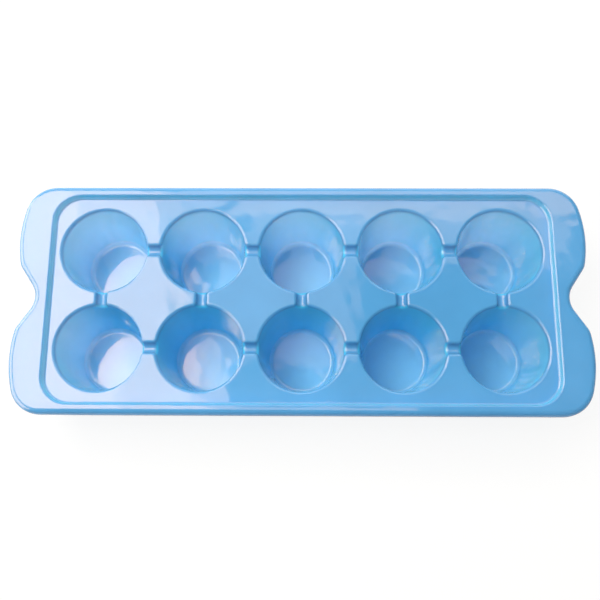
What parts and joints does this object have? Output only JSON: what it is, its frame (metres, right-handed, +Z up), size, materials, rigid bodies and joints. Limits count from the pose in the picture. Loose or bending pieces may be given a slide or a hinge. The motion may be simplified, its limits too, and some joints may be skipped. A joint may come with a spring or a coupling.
{
  "type": "ice cube tray",
  "caption": "Moulded tray with two rows of round tapered cups, joined by overflow channels in a recessed field, and a wide flange with a finger notch at each end.",
  "frame": {"origin": "middle of the plane that the bottoms of the cups stand on", "axes": "+X along the tray from one ear to the other, +Y across the two rows of cups, +Z up out of the cups"},
  "size_m": [0.2856, 0.1162, 0.047],
  "materials": {
    "tray_plastic": "light blue glossy polypropylene"
  },
  "bodies": {
    "root": {"tray": "tray_plastic"}
  },
  "joints": []
}
